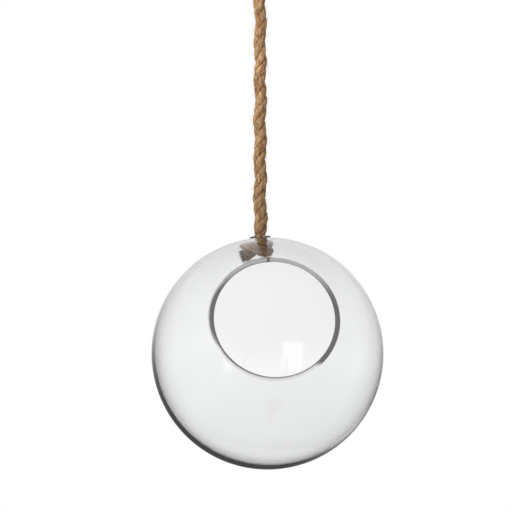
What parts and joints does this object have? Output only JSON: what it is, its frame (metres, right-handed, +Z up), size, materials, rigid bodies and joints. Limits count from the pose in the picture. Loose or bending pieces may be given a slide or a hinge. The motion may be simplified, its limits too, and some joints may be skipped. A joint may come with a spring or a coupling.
{
  "type": "hanging glass globe vase",
  "caption": "Clear blown glass globe vase with a round ground mouth, hung from above on a thick twisted jute rope whose overhand knot holds the globe.",
  "frame": {"origin": "the point at the top of the rope's eye where it bears on a hook", "axes": "+Z up along the taut rope; -Y the way that the mouth faces"},
  "size_m": [0.2, 0.1982, 0.5556],
  "materials": {
    "glass": "clear blown glass, with a ground rim",
    "jute": "three-strand twisted jute rope, fibrous"
  },
  "bodies": {
    "eye": {"rope_eye": "jute", "eye_splice": "jute"},
    "rope": {"hanging_rope": "jute"},
    "knot": {"stopper_knot": "jute", "rope_tail": "jute"},
    "globe": {"glass_globe": "glass"}
  },
  "joints": [
    {"name": "rope_swing", "type": "hinge", "parent": "eye", "child": "rope", "pos_m": [0, 0, -0.1355], "axis": [0, 1, 0], "range_deg": [-30, 30]},
    {"name": "rope_twist", "type": "hinge", "parent": "rope", "child": "knot", "pos_m": [0, 0, -0.33658], "axis": [0, 0, 1], "range_deg": [-150, 150], "stiffness_Nm_per_rad": 0.02},
    {"name": "globe_rock", "type": "hinge", "parent": "knot", "child": "globe", "pos_m": [0, 0, -0.3506], "axis": [1, 0, 0], "range_deg": [-5, 5]}
  ]
}
